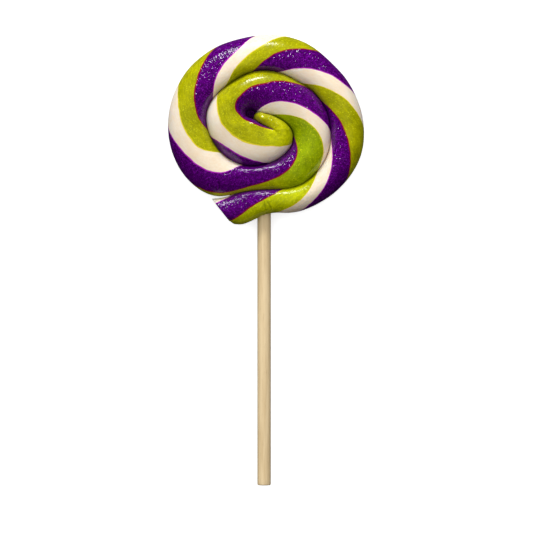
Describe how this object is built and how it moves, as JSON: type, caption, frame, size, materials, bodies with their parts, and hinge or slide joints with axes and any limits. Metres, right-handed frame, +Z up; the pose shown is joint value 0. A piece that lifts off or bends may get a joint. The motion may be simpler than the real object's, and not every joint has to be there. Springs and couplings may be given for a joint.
{
  "type": "lollipop",
  "caption": "Striped rope of boiled sugar coiled into a thick flat disc with a loose cut tail, on a plain round wooden stick, lying on its flat back.",
  "frame": {"origin": "on the ground under the middle of the lollipop's overall box, halfway along its length", "axes": "+Y from the free end of the stick towards the top of the sweet, +Z up through the thickness out of the shown face, +X to the right in the shown view"},
  "size_m": [0.0726, 0.1668, 0.015],
  "materials": {
    "sugar": "glossy boiled sugar in twisted stripes of purple, lime green and creamy white",
    "birch": "smooth unvarnished pale wood with a faint lengthwise grain"
  },
  "bodies": {
    "root": {"candy": "sugar", "stick": "birch"}
  },
  "joints": []
}
